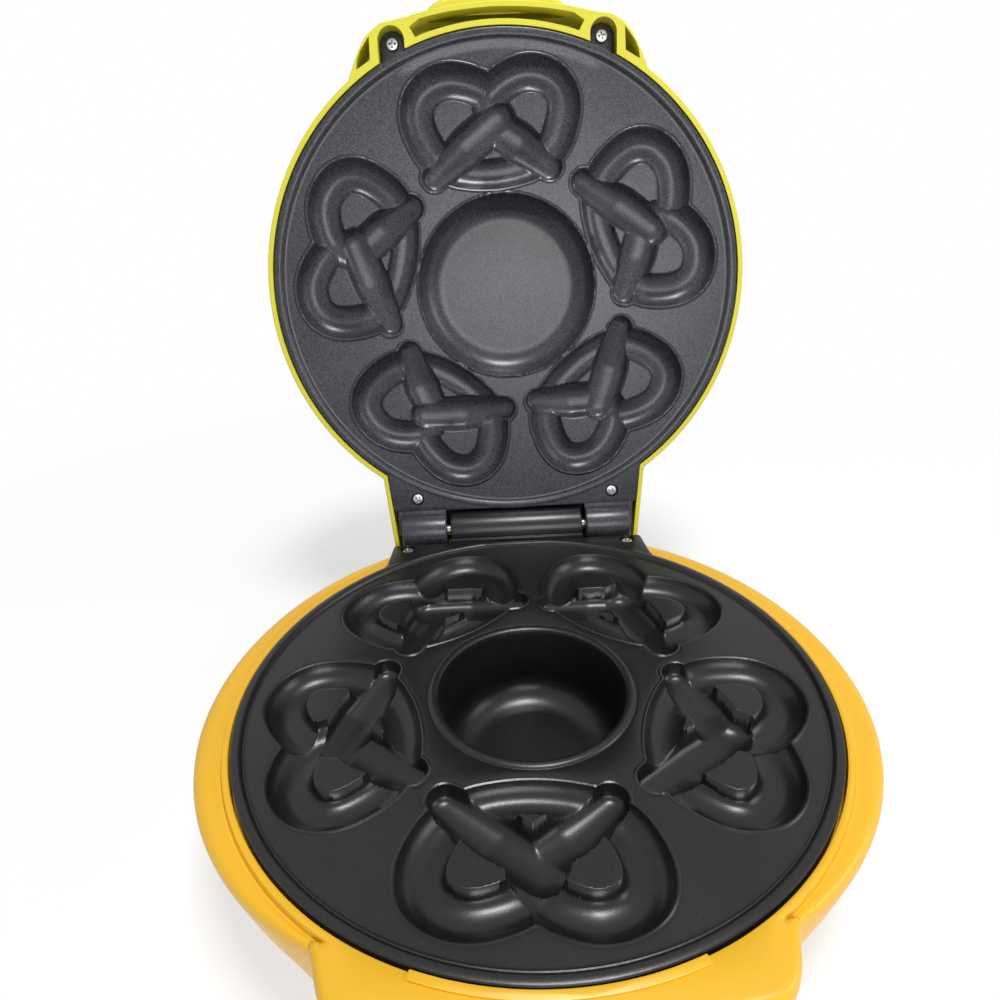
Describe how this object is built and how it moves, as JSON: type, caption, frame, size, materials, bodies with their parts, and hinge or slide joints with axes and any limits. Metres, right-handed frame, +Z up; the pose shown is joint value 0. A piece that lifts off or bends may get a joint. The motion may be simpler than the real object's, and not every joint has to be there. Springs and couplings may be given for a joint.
{
  "type": "soft pretzel maker",
  "caption": "Electric table appliance that bakes small soft pretzels between two round nonstick mould plates, with a dip well in the middle and a hinged lid, shown open",
  "frame": {"origin": "Centre of the bounding box at floor height, with the lid open as in the picture.", "axes": "Z is up, -Y is the front where the lid is lifted, +X is to the right seen from the front."},
  "size_m": [0.2656, 0.3472, 0.3208],
  "materials": {
    "base_plastic": "moulded plastic, warm yellow, slightly soft gloss",
    "lid_plastic": "moulded plastic, yellow that looks greener than the base, slightly soft gloss",
    "nonstick_aluminium": "cast, coated with a fine-grained charcoal nonstick layer, semi-matt",
    "bright_steel": "bright plated steel",
    "element_steel": "dull steel, a little browned by heat",
    "shield_aluminium": "thin pressed sheet, dull",
    "black_plastic": "fine-grained matt plastic",
    "white_plastic": "matt off-white plastic",
    "wire_cover": "glass-fibre sleeve, off-white",
    "foot_rubber": "matt black rubber",
    "red_lens": "clear red lamp lens",
    "green_lens": "clear green lamp lens"
  },
  "bodies": {
    "base": {"base_housing": "base_plastic", "base_bottom_cover": "black_plastic", "cord_gland": "black_plastic", "foot_front_left": "foot_rubber", "foot_front_right": "foot_rubber", "foot_rear_left": "foot_rubber", "foot_rear_right": "foot_rubber", "bottom_cover_screw_1": "bright_steel", "bottom_cover_screw_2": "bright_steel", "bottom_cover_screw_3": "bright_steel", "bottom_cover_screw_4": "bright_steel", "lower_plate_screw_left": "bright_steel", "lower_plate_screw_right": "bright_steel", "lower_cooking_plate": "nonstick_aluminium", "lower_heating_element": "element_steel", "lower_heat_shield": "shield_aluminium", "hinge_pin": "bright_steel", "lower_element_clip_1": "element_steel", "lower_element_clip_2": "element_steel", "lower_element_clip_3": "element_steel", "thermostat": "element_steel", "thermal_fuse": "white_plastic", "terminal_block": "white_plastic", "lower_wire_left": "wire_cover", "lower_wire_right": "wire_cover"},
    "lid": {"lid_housing": "lid_plastic", "upper_cooking_plate": "nonstick_aluminium", "upper_heating_element": "element_steel", "upper_heat_shield": "shield_aluminium", "upper_element_clip_1": "element_steel", "upper_element_clip_2": "element_steel", "upper_element_clip_3": "element_steel", "upper_plate_screw_rear_left": "bright_steel", "upper_plate_screw_rear_right": "bright_steel", "upper_plate_screw_front_left": "bright_steel", "upper_plate_screw_front_right": "bright_steel", "indicator_lamp_left": "red_lens", "indicator_lamp_right": "green_lens", "upper_wire_left": "wire_cover", "upper_wire_right": "wire_cover"}
  },
  "joints": [
    {"name": "lid_hinge", "type": "hinge", "parent": "base", "child": "lid", "pos_m": [0, 0.08423, 0.063], "axis": [1, 0, 0], "range_deg": [0, 102]}
  ]
}
